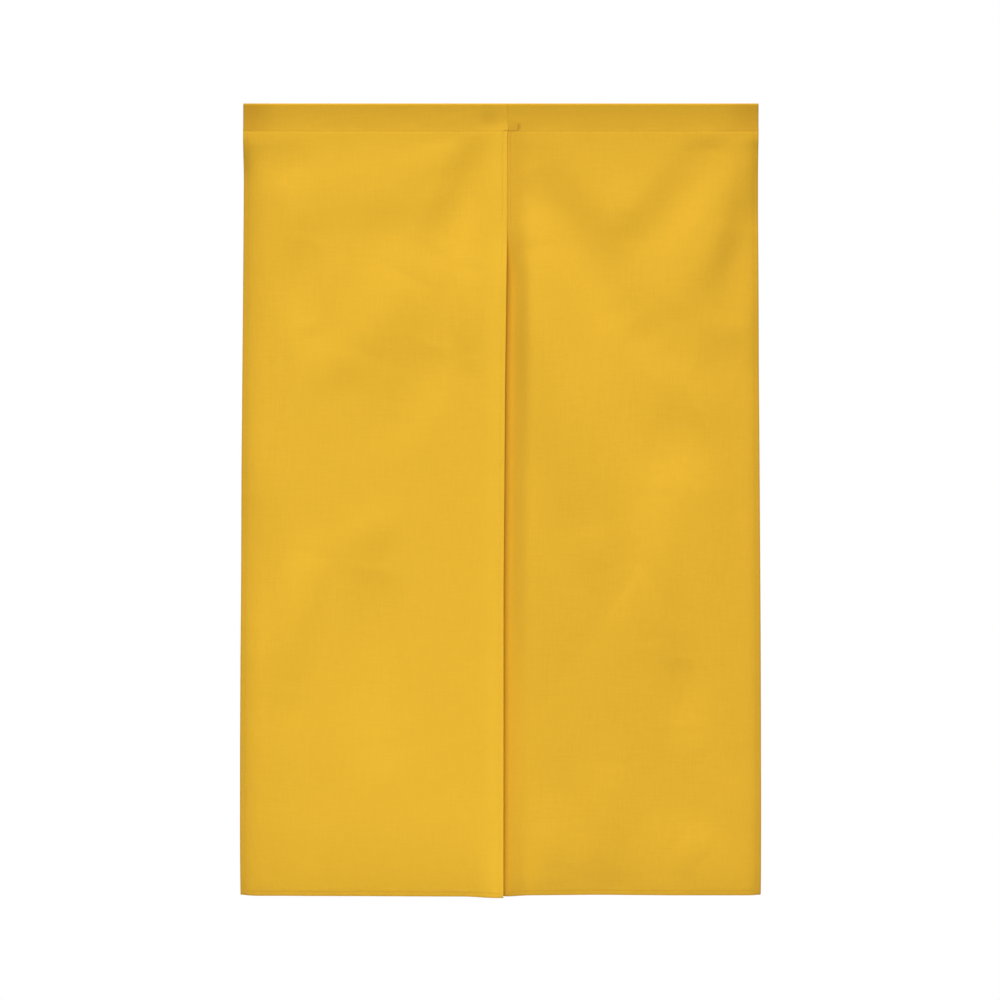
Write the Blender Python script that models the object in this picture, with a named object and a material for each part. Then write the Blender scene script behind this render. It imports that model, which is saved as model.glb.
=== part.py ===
"""A two-panel noren: a slit door curtain that hangs from a rod pocket.

Two lengths of plain cloth hang side by side. The left one laps a little over
the right one, and the lap is sewn shut for a short way below the pocket. Below
that the slit is open down to the foot. The top of each panel is turned over to
the back and stitched down, which leaves a flat pocket for a rod.

Units are metres, +Z is up, the front of the cloth faces -Y, and the origin is
the middle of the top edge.
"""

from collections import namedtuple

import bmesh
import bpy
import numpy as np

# Finished size of the whole curtain
TOP_WIDTH = 0.8434
HEIGHT = 1.3025
LEFT_FLARE = 0.0089
RIGHT_FLARE = 0.0077

# Cloth and its hems
CLOTH_THICKNESS = 0.0010
HEM_THICKNESS = 0.0020
HEM_WIDTH = 0.008
HEM_STEP = 0.001

# Rod pocket
POCKET_DEPTH = 0.045
ROD_ROOM = 0.007
TOP_CORNER = 0.0022
FOOT_THICKNESS = 0.0024
STITCHED_FOOT = 0.0025

# Joint between the two panels
LAP = 0.0012
SEWN_TO = 0.200
OPENING_RUN = 0.100
FRONT_LIFT = 0.005
BACK_LIFT = 0.009

# The stitch line holds a narrow strip flat, and folds and rolls start below it
HELD_FLAT = 0.003
FOLDS_START = 0.030
ROLL_START = 0.075

# How each panel hangs: calm beside the slit, rolled back at its outer edge, and
# with its foot swung back and curled. The right panel is tucked back at the slit
Blend = namedtuple("Blend", "start run")
Roll = namedtuple("Roll", "width depth")
Hang = namedtuple("Hang", "calm roll swing curl")
LEFT_HANG = Hang(
    calm=Blend(start=0.008, run=0.060),
    roll=Roll(width=0.040, depth=0.017),
    swing=Roll(width=0.130, depth=0.012),
    curl=Roll(width=0.045, depth=0.0015),
)
RIGHT_HANG = Hang(
    calm=Blend(start=0.002, run=0.045),
    roll=Roll(width=0.026, depth=0.008),
    swing=Roll(width=0.550, depth=0.024),
    curl=Roll(width=0.050, depth=0.0035),
)
TUCK = Roll(width=0.012, depth=0.006)

# Below the stitch line both panels fall back a little
NECK = Roll(width=0.050, depth=0.0015)

# Room between neighbouring pieces
GAP = 0.0003

# Mesh density
NEAR_EDGE = 0.020
PANEL_COLUMNS = 23
PANEL_ROWS = 64
POCKET_STATIONS = 12
CORNER_STEPS = 4
SIDE_STEPS = 3

# Where the line between the panels runs, from the top edge to the foot
SeamPoint = namedtuple("SeamPoint", "z x")
SEAM = (
    SeamPoint(z=0.000, x=0.0118),
    SeamPoint(z=-0.040, x=0.0118),
    SeamPoint(z=-0.052, x=0.0102),
    SeamPoint(z=-0.210, x=0.0098),
    SeamPoint(z=-0.256, x=0.0093),
    SeamPoint(z=-0.453, x=0.0066),
    SeamPoint(z=-0.800, x=0.0041),
    SeamPoint(z=-1.300, x=0.0038),
)

# Folds of the hanging cloth. Each one follows a curve from start to end that
# leans towards bend. Heights at start, bend and end are towards the viewer, so
# a negative height is a trough. Places are (x, z).
Fold = namedtuple("Fold", "start bend end half_width heights")
LEFT_FOLDS = (
    # hollow that drags from the outer corner and recovers slowly, and the belly beside it
    Fold((-0.435, -0.120), (-0.405, -0.112), (-0.345, -0.100), 0.060, (-0.003, -0.004, -0.002)),
    Fold((-0.430, -0.185), (-0.420, -0.320), (-0.405, -0.560), 0.090, (-0.008, -0.011, -0.002)),
    Fold((-0.320, -0.150), (-0.240, -0.145), (-0.130, -0.130), 0.080, (0.001, 0.002, 0.001)),
    # hollow that runs down from the top of the slit, under a short ridge
    Fold((-0.145, -0.105), (-0.100, -0.090), (-0.050, -0.072), 0.040, (0.001, 0.002, 0.001)),
    Fold((-0.030, -0.070), (-0.050, -0.160), (-0.100, -0.235), 0.060, (-0.003, -0.012, -0.003)),
    # hollows on both sides of the big diagonal ridge
    Fold((-0.230, -0.220), (-0.185, -0.213), (-0.150, -0.205), 0.070, (-0.001, -0.003, -0.001)),
    Fold((-0.318, -0.225), (-0.335, -0.290), (-0.318, -0.365), 0.055, (-0.002, -0.009, -0.002)),
    Fold((-0.160, -0.280), (-0.190, -0.340), (-0.220, -0.410), 0.085, (0.002, 0.011, 0.003)),
    Fold((-0.235, -0.400), (-0.290, -0.430), (-0.320, -0.460), 0.055, (0.001, 0.003, 0.001)),
    Fold((-0.048, -0.270), (-0.052, -0.325), (-0.050, -0.410), 0.045, (0.002, 0.010, 0.002)),
    Fold((-0.105, -0.400), (-0.120, -0.445), (-0.155, -0.510), 0.060, (-0.001, -0.006, -0.001)),
    Fold((-0.165, -0.520), (-0.195, -0.535), (-0.225, -0.550), 0.065, (-0.001, -0.002, -0.001)),
    # dimple at mid height, between a bump and a long hollow
    Fold((-0.185, -0.680), (-0.215, -0.703), (-0.245, -0.730), 0.052, (0.001, 0.003, 0.001)),
    Fold((-0.205, -0.765), (-0.217, -0.870), (-0.205, -1.040), 0.082, (-0.002, -0.014, -0.003)),
    # upright ridge and hollow near the outer edge
    Fold((-0.310, -0.740), (-0.335, -0.820), (-0.350, -0.950), 0.055, (0.002, 0.012, 0.002)),
    Fold((-0.410, -0.640), (-0.400, -0.760), (-0.410, -0.860), 0.060, (-0.002, -0.009, -0.002)),
    # the outer corner of the foot hangs back
    Fold((-0.420, -1.300), (-0.370, -1.290), (-0.310, -1.300), 0.260, (-0.006, -0.011, -0.006)),
)
RIGHT_FOLDS = (
    # hollows on both sides of the belly under the pocket
    Fold((0.050, -0.110), (0.115, -0.195), (0.178, -0.325), 0.070, (-0.002, -0.012, -0.003)),
    Fold((0.170, -0.165), (0.200, -0.172), (0.230, -0.165), 0.065, (0.001, 0.005, 0.001)),
    Fold((0.335, -0.080), (0.300, -0.155), (0.217, -0.247), 0.058, (-0.003, -0.009, -0.002)),
    # ridge that drags down from the outer corner, and the hollow beside it
    Fold((0.390, -0.120), (0.360, -0.215), (0.285, -0.310), 0.055, (0.000, 0.004, 0.003)),
    Fold((0.430, -0.085), (0.412, -0.180), (0.372, -0.330), 0.052, (-0.004, -0.010, -0.003)),
    Fold((0.420, -0.210), (0.413, -0.470), (0.405, -1.050), 0.115, (-0.006, -0.025, -0.004)),
    Fold((0.320, -0.415), (0.350, -0.425), (0.390, -0.440), 0.085, (-0.002, -0.005, -0.002)),
    Fold((0.340, -0.535), (0.305, -0.555), (0.240, -0.540), 0.105, (-0.002, -0.009, -0.002)),
    # two broad bellies across the middle of the panel
    Fold((0.060, -0.620), (0.150, -0.640), (0.250, -0.620), 0.360, (0.009, 0.014, 0.006)),
    Fold((0.160, -0.860), (0.220, -0.900), (0.290, -0.860), 0.300, (0.004, 0.011, 0.004)),
    # ridge that drags down from the top of the slit
    Fold((0.040, -0.240), (0.065, -0.370), (0.150, -0.690), 0.095, (0.006, 0.024, 0.002)),
    Fold((0.215, -0.360), (0.235, -0.380), (0.255, -0.405), 0.050, (-0.001, -0.004, -0.001)),
    # soft upright folds below them
    Fold((0.262, -0.640), (0.258, -0.760), (0.258, -0.880), 0.060, (0.002, 0.012, 0.002)),
    Fold((0.148, -0.700), (0.152, -0.735), (0.155, -0.770), 0.040, (0.001, 0.003, 0.001)),
    Fold((0.298, -0.910), (0.300, -0.965), (0.303, -1.020), 0.050, (-0.002, -0.009, -0.002)),
    # ridges above the foot, and the dent where it turns back
    Fold((0.180, -1.080), (0.175, -1.150), (0.178, -1.235), 0.065, (0.002, 0.009, 0.002)),
    Fold((0.078, -1.180), (0.080, -1.220), (0.080, -1.260), 0.055, (0.002, 0.005, 0.002)),
    Fold((0.290, -1.215), (0.312, -1.230), (0.330, -1.245), 0.065, (0.002, 0.006, 0.002)),
    Fold((0.110, -1.300), (0.160, -1.300), (0.215, -1.300), 0.080, (-0.003, -0.009, -0.003)),
)

# Places where the front of the pocket is pulled flatter
Pucker = namedtuple("Pucker", "x half_width depth")
PUCKERS = (
    Pucker(x=-0.410, half_width=0.030, depth=0.0006),
    Pucker(x=-0.180, half_width=0.090, depth=0.0004),
    Pucker(x=-0.020, half_width=0.034, depth=0.0010),
    Pucker(x=0.060, half_width=0.040, depth=0.0006),
    Pucker(x=0.190, half_width=0.080, depth=0.0004),
    Pucker(x=0.412, half_width=0.028, depth=0.0006),
)

CLOTH_COLOUR = "#E7B534"
CLOTH_ROUGHNESS = 0.85


def clear_scene():
    for scene_object in list(bpy.data.objects):
        bpy.data.objects.remove(scene_object, do_unlink=True)


def linear(hex_colour):
    """The linear RGBA of an sRGB hex colour."""
    levels = [int(hex_colour[i : i + 2], 16) / 255 for i in (1, 3, 5)]
    return [c / 12.92 if c <= 0.04045 else ((c + 0.055) / 1.055) ** 2.4 for c in levels] + [1.0]


def cloth_material(name):
    material = bpy.data.materials.new(name)
    material.use_nodes = True
    shader = material.node_tree.nodes["Principled BSDF"]
    shader.inputs["Base Color"].default_value = linear(CLOTH_COLOUR)
    shader.inputs["Roughness"].default_value = CLOTH_ROUGHNESS
    shader.inputs["Metallic"].default_value = 0.0
    return material


def smooth(t):
    """A soft step from 0 to 1."""
    t = np.clip(t, 0.0, 1.0)
    return t * t * (3.0 - 2.0 * t)


def seam_x(z):
    """The edge of the front panel at the middle of the curtain."""
    depths = [-point.z for point in SEAM]
    return np.interp(-z, depths, [point.x for point in SEAM])


def left_edge(z):
    return -TOP_WIDTH / 2 - LEFT_FLARE * (-z / HEIGHT) ** 0.6


def right_edge(z):
    return TOP_WIDTH / 2 + RIGHT_FLARE * (-z / HEIGHT) ** 0.75


def bezier(a, b, c, t):
    return (1 - t) ** 2 * a + 2 * t * (1 - t) * b + t**2 * c


def fold_height(fold, x, z):
    """How far one fold lifts the cloth towards the viewer at each (x, z)."""
    t = np.linspace(0.0, 1.0, 33)
    path_x = bezier(fold.start[0], fold.bend[0], fold.end[0], t)
    path_z = bezier(fold.start[1], fold.bend[1], fold.end[1], t)
    run_x, run_z = np.diff(path_x), np.diff(path_z)
    away_x, away_z = x[:, None] - path_x[:-1], z[:, None] - path_z[:-1]
    share = np.clip((away_x * run_x + away_z * run_z) / (run_x**2 + run_z**2), 0.0, 1.0)
    distance = np.hypot(away_x - share * run_x, away_z - share * run_z)
    nearest = distance.argmin(axis=1)
    rows = np.arange(len(x))
    along = t[nearest] + share[rows, nearest] * t[1]
    across = np.clip(distance[rows, nearest] / fold.half_width, 0.0, 1.0)
    return bezier(*fold.heights, along) * (1 + np.cos(np.pi * across)) / 2


def slit_opening(z):
    """0 where the lap is sewn, 1 where the slit is fully open."""
    return smooth((-z - SEWN_TO) / OPENING_RUN)


def rolled(distance, roll):
    """How far back an edge lies at a distance from it."""
    return roll.depth * (1 - np.clip(distance / roll.width, 0, 1)) ** 2


def front_face(x, z, folds, hang, from_slit, from_edge, slit_shift):
    """The y of a panel's front face at each (x, z)."""
    below = -z - POCKET_DEPTH - HELD_FLAT
    near_slit = 1 - smooth((from_slit - hang.calm.start) / hang.calm.run)
    relief = sum(fold_height(fold, x, z) for fold in folds)
    folded = -relief * (1 - near_slit) * smooth(below / FOLDS_START)
    neck = NECK.depth - rolled(np.clip(below, 0, None), NECK)
    roll = rolled(from_edge, hang.roll) * smooth(below / ROLL_START)
    swing = rolled(z + HEIGHT, hang.swing) * (1 - near_slit) + rolled(z + HEIGHT, hang.curl)
    return -CLOTH_THICKNESS + neck + folded + roll + slit_shift * near_slit + swing


def left_point(across, z):
    """A point of the left panel's front face, from its outer edge to the slit."""
    edge, slit = left_edge(z), seam_x(z)
    x = edge + across * (slit - edge)
    lapped = HEM_THICKNESS + GAP / 2 - CLOTH_THICKNESS
    shift = -lapped - FRONT_LIFT * slit_opening(z)
    return x, front_face(x, z, LEFT_FOLDS, LEFT_HANG, slit - x, x - edge, shift)


def right_point(across, z):
    """A point of the right panel's front face, from the slit to its outer edge."""
    edge, slit = right_edge(z), seam_x(z) - LAP
    x = slit + across * (edge - slit)
    shift = CLOTH_THICKNESS + GAP / 2 + BACK_LIFT * slit_opening(z)
    tucked = rolled(x - slit, TUCK) * slit_opening(z)
    return x, front_face(x, z, RIGHT_FOLDS, RIGHT_HANG, x - slit, edge - x, shift) + tucked


def stations(length, start, end, count):
    """Shares of a length: fixed places at its start and at its end, and even ones between."""
    middle = list(np.linspace(start[-1], end[0], count + 1)[1:-1])
    return np.array(start + middle + end) / length


def make_panel(name, point_on_panel):
    """One panel: a grid laid on the folds, thickened to the back and more at its hems."""
    width, top = TOP_WIDTH / 2, -POCKET_DEPTH - GAP
    length = HEIGHT + top
    side = [0.0, HEM_WIDTH, HEM_WIDTH + HEM_STEP, NEAR_EDGE]
    across = stations(width, side, [width - place for place in reversed(side)], PANEL_COLUMNS)
    foot = [length - HEM_WIDTH - HEM_STEP, length - HEM_WIDTH, length]
    down = stations(length, [0.0, HELD_FLAT], foot, PANEL_ROWS)
    columns, rows = len(across) - 1, len(down) - 1
    grid = bmesh.new()
    bmesh.ops.create_grid(grid, x_segments=columns, y_segments=rows, size=1.0)
    places = [(round((v.co.x + 1) / 2 * columns), round((1 - v.co.y) / 2 * rows)) for v in grid.verts]
    column = np.array([place[0] for place in places])
    row = np.array([place[1] for place in places])
    z = top - down[row] * length
    x, y = point_on_panel(across[column], z)
    for vertex, position in zip(grid.verts, zip(x, y, z)):
        vertex.co = position
    mesh = bpy.data.meshes.new(name)
    grid.to_mesh(mesh)
    grid.free()
    mesh.materials.append(cloth_material(name))
    panel = bpy.data.objects.new(name, mesh)
    bpy.context.scene.collection.objects.link(panel)
    hem = panel.vertex_groups.new(name="hem")
    in_hem = (column <= 1) | (column >= columns - 1) | (row >= rows - 1)
    hem.add([int(i) for i in np.flatnonzero(in_hem)], 1.0, "REPLACE")
    solidify = panel.modifiers.new("cloth and hems", "SOLIDIFY")
    solidify.thickness = HEM_THICKNESS
    solidify.offset = -1.0
    solidify.vertex_group = hem.name
    solidify.thickness_vertex_group = CLOTH_THICKNESS / HEM_THICKNESS
    mesh.shade_smooth()
    return panel


def pocket_outline(half_width, corner, foot_half, foot_z):
    """A closed (y, z) outline: two sides that lean apart, and a flat top with round corners."""
    centre_y, centre_z = half_width - corner, -TOP_CORNER
    lean = np.arctan2(half_width - foot_half, centre_z - foot_z)
    angles = np.linspace(np.pi / 2, -lean, CORNER_STEPS + 1)
    back = [(centre_y + corner * np.cos(a), centre_z + corner * np.sin(a)) for a in angles]
    side_y, side_z = back[-1]
    for share in np.linspace(0, 1, SIDE_STEPS + 1)[1:]:
        back.append((side_y + share * (foot_half - side_y), side_z + share * (foot_z - side_z)))
    front = [(-y, z) for y, z in reversed(back)]
    return front + back


def pucker_depth(x):
    """How far the front wall of the pocket is pulled back at x."""
    pulls = [p.depth * (1 - smooth(abs(x - p.x) / p.half_width)) for p in PUCKERS]
    return sum(pulls)


def make_pocket(name, start_x, end_x):
    """One half of the rod pocket: a tube of cloth, open at both ends."""
    outer = pocket_outline(ROD_ROOM + CLOTH_THICKNESS, TOP_CORNER, FOOT_THICKNESS / 2, -POCKET_DEPTH)
    inner_corner = TOP_CORNER - CLOTH_THICKNESS
    inner = pocket_outline(ROD_ROOM, inner_corner, GAP, -(POCKET_DEPTH - STITCHED_FOOT))
    tube = bmesh.new()
    sections = []
    for x in np.linspace(start_x, end_x, POCKET_STATIONS + 1):
        pull = pucker_depth(x)
        rings = []
        for outline in (outer, inner):
            ring = []
            for y, z in outline:
                bulge = max(-y, 0.0) / (ROD_ROOM + CLOTH_THICKNESS)
                below_rod = smooth(-z / POCKET_DEPTH * 2) * (1 - smooth(-z / POCKET_DEPTH * 2 - 1))
                ring.append(tube.verts.new((x, y + pull * bulge * below_rod, z)))
            rings.append(ring)
        sections.append(rings)
    count = len(outer)
    for (outer_a, inner_a), (outer_b, inner_b) in zip(sections, sections[1:]):
        for i in range(count):
            j = (i + 1) % count
            tube.faces.new((outer_a[i], outer_a[j], outer_b[j], outer_b[i]))
            tube.faces.new((inner_a[j], inner_a[i], inner_b[i], inner_b[j]))
    for outer_ring, inner_ring in (sections[0], sections[-1]):
        for i in range(count):
            j = (i + 1) % count
            tube.faces.new((outer_ring[i], outer_ring[j], inner_ring[j], inner_ring[i]))
    bmesh.ops.recalc_face_normals(tube, faces=tube.faces)
    mesh = bpy.data.meshes.new(name)
    tube.to_mesh(mesh)
    tube.free()
    mesh.materials.append(cloth_material(name))
    mesh.shade_smooth()
    pocket = bpy.data.objects.new(name, mesh)
    bpy.context.scene.collection.objects.link(pocket)
    return pocket


clear_scene()
make_panel("panel_left", left_point)
make_panel("panel_right", right_point)
make_pocket("pocket_left", -TOP_WIDTH / 2, SEAM[0].x - GAP / 2)
make_pocket("pocket_right", SEAM[0].x + GAP / 2, TOP_WIDTH / 2)
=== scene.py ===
# %% [markdown]
# # A noren in plain golden cloth
# A noren is a short Japanese doorway curtain. This one is two panels of plain
# cloth that hang side by side from a rod pocket, sewn to each other near the top
# and open below. Nothing on it is stiff, so everything that the eye sees comes
# from three things: how the cloth hangs, how its edges are sewn, and how light
# falls on a matt weave. The cells below take them in that order.

# %% Load the frame
import math
from collections import namedtuple

import bmesh
import bpy
import numpy as np
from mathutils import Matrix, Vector, noise


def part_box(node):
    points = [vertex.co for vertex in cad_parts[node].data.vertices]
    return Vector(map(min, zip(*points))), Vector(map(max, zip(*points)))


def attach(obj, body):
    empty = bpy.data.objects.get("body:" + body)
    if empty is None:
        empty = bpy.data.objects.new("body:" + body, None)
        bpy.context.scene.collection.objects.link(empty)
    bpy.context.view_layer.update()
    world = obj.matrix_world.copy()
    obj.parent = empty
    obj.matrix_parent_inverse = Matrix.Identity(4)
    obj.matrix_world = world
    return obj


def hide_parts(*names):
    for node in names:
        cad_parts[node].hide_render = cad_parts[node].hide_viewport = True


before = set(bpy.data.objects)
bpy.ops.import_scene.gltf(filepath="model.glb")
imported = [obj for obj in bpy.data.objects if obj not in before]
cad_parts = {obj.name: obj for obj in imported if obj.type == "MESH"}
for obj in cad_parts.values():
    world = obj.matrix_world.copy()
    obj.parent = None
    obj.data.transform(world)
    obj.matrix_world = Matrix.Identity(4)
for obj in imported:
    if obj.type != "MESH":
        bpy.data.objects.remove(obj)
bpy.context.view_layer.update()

# %% [markdown]
# ## The sizes that drive everything
# The overall sizes are read from the frame, so the cloth can't drift away from
# the solids that it dresses. The sewing sizes are the ones that a maker would
# set: how deep the pocket is, how wide the hems are, how far the panels lap.

# %% Sizes
POCKET_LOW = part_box("pocket_left")[0]
RIGHT_POCKET_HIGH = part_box("pocket_right")[1]
PANEL_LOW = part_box("panel_left")[0]
RIGHT_PANEL_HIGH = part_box("panel_right")[1]

TOP_LEFT_X = POCKET_LOW[0]
TOP_RIGHT_X = RIGHT_POCKET_HIGH[0]
HEIGHT = -PANEL_LOW[2]
LEFT_FLARE = TOP_LEFT_X - PANEL_LOW[0]
RIGHT_FLARE = RIGHT_PANEL_HIGH[0] - TOP_RIGHT_X
POCKET_DEPTH = -POCKET_LOW[2]

MM = 0.001
CLOTH = 0.7 * MM
LAYER = 0.85 * MM
HEM_WIDTH = 8 * MM
HEM_THICKNESS = 2 * MM
LAP = 1.2 * MM
SEWN_TO = 0.200
print(f"{TOP_RIGHT_X - TOP_LEFT_X:.3f} m wide and {HEIGHT:.3f} m long")
print(f"pocket {POCKET_DEPTH / MM:.0f} mm deep")

# %% [markdown]
# ## Small helpers for every material
# Colours are easier to compare with a picture as sRGB hex values, but a shader
# works on linear light, so one function turns one into the other. The second
# helper adds a node, sets its values and joins its inputs in one call, which
# keeps a material as short as its idea. The third starts a new material and
# gives back its node tree and its shader.


# %% Colour and node helpers
def linear(hex_colour):
    """Linear RGBA from an sRGB hex colour."""
    levels = [int(hex_colour[i : i + 2], 16) / 255 for i in (1, 3, 5)]
    return [c / 12.92 if c <= 0.04045 else ((c + 0.055) / 1.055) ** 2.4 for c in levels] + [1.0]


def add(tree, kind, values=None, links=None, **settings):
    """One node, with its settings, its input values and the sockets that feed it."""
    made = tree.nodes.new(kind)
    for name, value in settings.items():
        setattr(made, name, value)
    for name, value in (values or {}).items():
        made.inputs[name].default_value = value
    for name, source in (links or {}).items():
        tree.links.new(source, made.inputs[name])
    return made


def new_material(name):
    material = bpy.data.materials.new(name)
    material.use_nodes = True
    shader = material.node_tree.nodes["Principled BSDF"]
    return material, material.node_tree, shader


print("golden yellow in linear light:", [round(c, 3) for c in linear("#EEBA2E")[:3]])

# %% [markdown]
# ## The cloth: a woven linen-look polyester
# The real thing is a medium plain weave in spun polyester, dyed one colour and
# left matt. Its threads are uneven, a little thicker here and there, and those
# slubs are the only pattern. They run along both thread directions, so they
# could be drawn from a photo, from an image of a weave, or from noise that is
# stretched along each thread. Stretched noise never repeats and needs no image.
#
# Real threads are about 0.5 mm apart, which is finer than the picture shows, so
# the weave is drawn 1.6 mm apart, and only faintly. Where cloth lies double or
# triple, in the hems and the pocket, less light comes through it; that is painted
# shade, a deeper colour. The mesh carries how deep the colour is as an attribute:
# the painted shade of doubled cloth, and painted shade and shadow elsewhere.

# %% Woven linen-look polyester
THREAD = 1.6 * MM
SLUB_WIDTH = 3.2 * MM
SLUB_LENGTH = 34 * MM
CLOTH_COLOUR = "#EEBA2E"
# The colour that painted shade darkens the cloth towards.
DEEP_SHADE_COLOUR = "#CE9822"
SHEEN_COLOUR = "#F4D68A"
FABRIC_IOR = 1.46
CROSSING_SHARE = 0.35
RELIEF_LOW, RELIEF_HIGH = 0.6, 1.6
# The slubs' own uneven tone, and painted shade in the dips between threads.
TONE_AND_DIP_SHADE_LOW, TONE_AND_DIP_SHADE_HIGH = 0.965, 1.035
ROUGH_LOW, ROUGH_HIGH = 0.90, 0.80
WEAVE_BUMP = 0.35 * MM


def wave_scale(spacing):
    """The Scale at which the wave texture's bands lie this far apart."""
    return math.pi / (10 * spacing)


def woven_cloth(name):
    material, tree, shader = new_material(name)
    place = add(tree, "ShaderNodeTexCoord").outputs["Object"]

    def slubs(stretch):
        """Noise drawn out along one thread direction, from 0 to 1."""
        scaled = add(tree, "ShaderNodeMapping", {"Scale": stretch}, {"Vector": place})
        values = {"Scale": 1.0, "Detail": 2.0, "Roughness": 0.6}
        drawn = add(tree, "ShaderNodeTexNoise", values, {"Vector": scaled.outputs["Vector"]})
        return drawn.outputs["Fac"]

    def threads(direction, phase):
        """The rounded backs of parallel threads."""
        values = {"Scale": wave_scale(THREAD), "Distortion": 0.35, "Detail": 1.0}
        values.update({"Detail Scale": 2.0, "Phase Offset": phase})
        settings = {"wave_type": "BANDS", "bands_direction": direction, "wave_profile": "SIN"}
        return add(tree, "ShaderNodeTexWave", values, {"Vector": place}, **settings).outputs["Fac"]

    warp = slubs((1 / SLUB_WIDTH, 1 / SLUB_WIDTH, 1 / SLUB_LENGTH))
    weft = slubs((1 / SLUB_LENGTH, 1 / SLUB_WIDTH, 1 / SLUB_WIDTH))
    both = add(tree, "ShaderNodeMath", None, {0: warp, 1: weft}, operation="ADD").outputs[0]
    over, under = threads("X", 0.0), threads("Z", 0.5)
    crossing = add(tree, "ShaderNodeMath", None, {0: over, 1: under}, operation="MULTIPLY")
    sources = {0: crossing.outputs[0], 2: both}
    weave = add(tree, "ShaderNodeMath", {1: CROSSING_SHARE}, sources, operation="MULTIPLY_ADD")
    relief = weave.outputs[0]

    def from_relief(low, high):
        """A value that goes from low in the dips of the weave to high on its threads."""
        values = {"From Min": RELIEF_LOW, "From Max": RELIEF_HIGH, "To Min": low, "To Max": high}
        return add(tree, "ShaderNodeMapRange", values, {"Value": relief}).outputs[0]

    # The attribute says how much painted shade deepens the colour at each point.
    layers = add(tree, "ShaderNodeAttribute", attribute_name="layers").outputs["Fac"]
    colours = {6: linear(CLOTH_COLOUR), 7: linear(DEEP_SHADE_COLOUR)}
    colour = add(tree, "ShaderNodeMix", colours, {0: layers}, data_type="RGBA").outputs[2]
    # The weave's tint: the slubs' own tone, with painted shade in the weave's dips.
    sources = {6: colour, 7: from_relief(TONE_AND_DIP_SHADE_LOW, TONE_AND_DIP_SHADE_HIGH)}
    settings = {"data_type": "RGBA", "blend_type": "MULTIPLY"}
    toned = add(tree, "ShaderNodeMix", {0: 1.0}, sources, **settings)
    tree.links.new(toned.outputs[2], shader.inputs["Base Color"])
    tree.links.new(from_relief(ROUGH_LOW, ROUGH_HIGH), shader.inputs["Roughness"])
    values = {"Strength": 0.35, "Distance": WEAVE_BUMP}
    bump = add(tree, "ShaderNodeBump", values, {"Height": relief})
    tree.links.new(bump.outputs[0], shader.inputs["Normal"])

    shader.inputs["IOR"].default_value = FABRIC_IOR
    shader.inputs["Specular IOR Level"].default_value = 0.25
    shader.inputs["Sheen Weight"].default_value = 0.12
    shader.inputs["Sheen Roughness"].default_value = 0.6
    shader.inputs["Sheen Tint"].default_value = linear(SHEEN_COLOUR)
    return material


CLOTH_FINISH = woven_cloth("woven linen-look polyester")
print("material", CLOTH_FINISH.name, "with", len(CLOTH_FINISH.node_tree.nodes), "nodes")

# %% [markdown]
# ## The thread
# Hems on a curtain like this are sewn with spun polyester thread, dyed to match.
# It is drawn a shade deeper, as painted shade where the needle pulls it into the
# cloth. Its twist is under a millimetre long, so it is drawn as a fine slanted
# ripple, with painted shade in the grooves of the twist.

# %% Spun polyester sewing thread
THREAD_COLOUR = "#E6B22E"
TWIST_SHADE_COLOUR = "#D2A02A"
TWIST = 0.9 * MM


def sewing_thread(name):
    material, tree, shader = new_material(name)
    place = add(tree, "ShaderNodeTexCoord").outputs["Object"]
    values = {"Scale": wave_scale(TWIST), "Distortion": 0.2}
    settings = {"wave_type": "BANDS", "bands_direction": "DIAGONAL"}
    twist = add(tree, "ShaderNodeTexWave", values, {"Vector": place}, **settings).outputs["Fac"]
    # Painted shade in the grooves of the twist.
    colours = {6: linear(TWIST_SHADE_COLOUR), 7: linear(THREAD_COLOUR)}
    painted_shade = add(tree, "ShaderNodeMix", colours, {0: twist}, data_type="RGBA")
    tree.links.new(painted_shade.outputs[2], shader.inputs["Base Color"])
    bump = add(tree, "ShaderNodeBump", {"Strength": 0.3, "Distance": 0.1 * MM}, {"Height": twist})
    tree.links.new(bump.outputs[0], shader.inputs["Normal"])
    shader.inputs["IOR"].default_value = FABRIC_IOR
    shader.inputs["Roughness"].default_value = 0.6
    return material


THREAD_FINISH = sewing_thread("spun polyester sewing thread")
print("material", THREAD_FINISH.name)

# %% [markdown]
# ## Where the edges run
# The outer edges splay by a few millimetres from the top to the foot. The line
# between the panels isn't quite upright either: it wanders to the left by
# 8 mm on its way down, so it is a short list of places joined by straight runs.

# %% Edges of the two panels
SeamPoint = namedtuple("SeamPoint", "z x")
SEAM = (
    SeamPoint(z=0.000, x=0.0118),
    SeamPoint(z=-0.040, x=0.0118),
    SeamPoint(z=-0.052, x=0.0102),
    SeamPoint(z=-0.210, x=0.0098),
    SeamPoint(z=-0.256, x=0.0093),
    SeamPoint(z=-0.453, x=0.0066),
    SeamPoint(z=-0.800, x=0.0041),
    SeamPoint(z=-1.300, x=0.0038),
)
LEFT_SPLAY_POWER = 0.6
RIGHT_SPLAY_POWER = 0.75
POCKET_GAP = 0.3 * MM
JOINT_RUN = 5 * MM


def smooth(t):
    """A soft step from 0 to 1."""
    t = np.clip(t, 0.0, 1.0)
    return t * t * (3.0 - 2.0 * t)


def seam_x(z):
    return np.interp(-z, [-p.z for p in SEAM], [p.x for p in SEAM])


def splay(z, power):
    """The share of its flare that an outer edge has at z: 0 at the top, 1 at the foot."""
    return (np.clip(-z, 0, None) / HEIGHT) ** power


def left_edges(z):
    """The outer edge and the slit edge of the left panel."""
    in_pocket = smooth((z + POCKET_DEPTH) / JOINT_RUN)
    slit = seam_x(z) - in_pocket * POCKET_GAP / 2
    return TOP_LEFT_X - LEFT_FLARE * splay(z, LEFT_SPLAY_POWER), slit


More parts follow.
